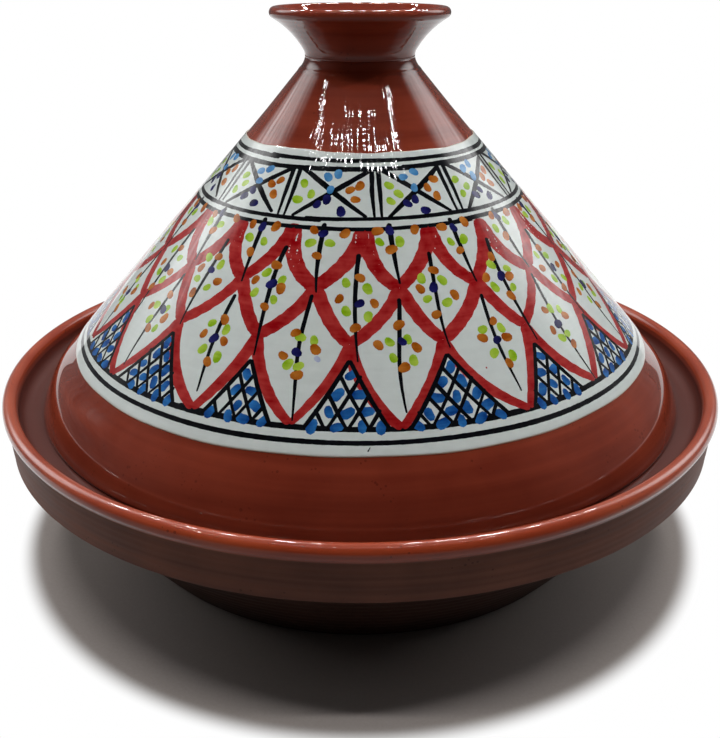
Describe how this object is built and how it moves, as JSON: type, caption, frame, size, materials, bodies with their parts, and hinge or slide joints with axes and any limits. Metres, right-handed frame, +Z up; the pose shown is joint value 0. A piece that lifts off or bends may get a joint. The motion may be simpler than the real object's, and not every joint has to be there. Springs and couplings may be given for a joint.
{
  "type": "tagine pot",
  "caption": "Glazed terracotta tagine: round footed dish with a collar and ledge, and a loose conical lid with a cup-shaped knob and a painted white slip band.",
  "frame": {"origin": "centre of the foot ring, on the table", "axes": "+Z up along the pot's axis; -Y is the side that the picture shows"},
  "size_m": [0.3, 0.3, 0.2138],
  "materials": {
    "dish_terracotta": "satin outside, clear glaze on the lip and inside",
    "glazed_terracotta": "clear gloss glaze over red clay",
    "white_slip": "clear gloss glaze over white slip with painted lines, strokes and dots"
  },
  "bodies": {
    "dish": {"dish": "dish_terracotta"},
    "lid": {"lid_cone": "glazed_terracotta", "lid_knob": "glazed_terracotta", "white_slip_band": "white_slip"}
  },
  "joints": [
    {"name": "lid_lift", "type": "slide", "parent": "dish", "child": "lid", "axis": [0, 0, 1], "range_m": [0, 0.2]}
  ]
}
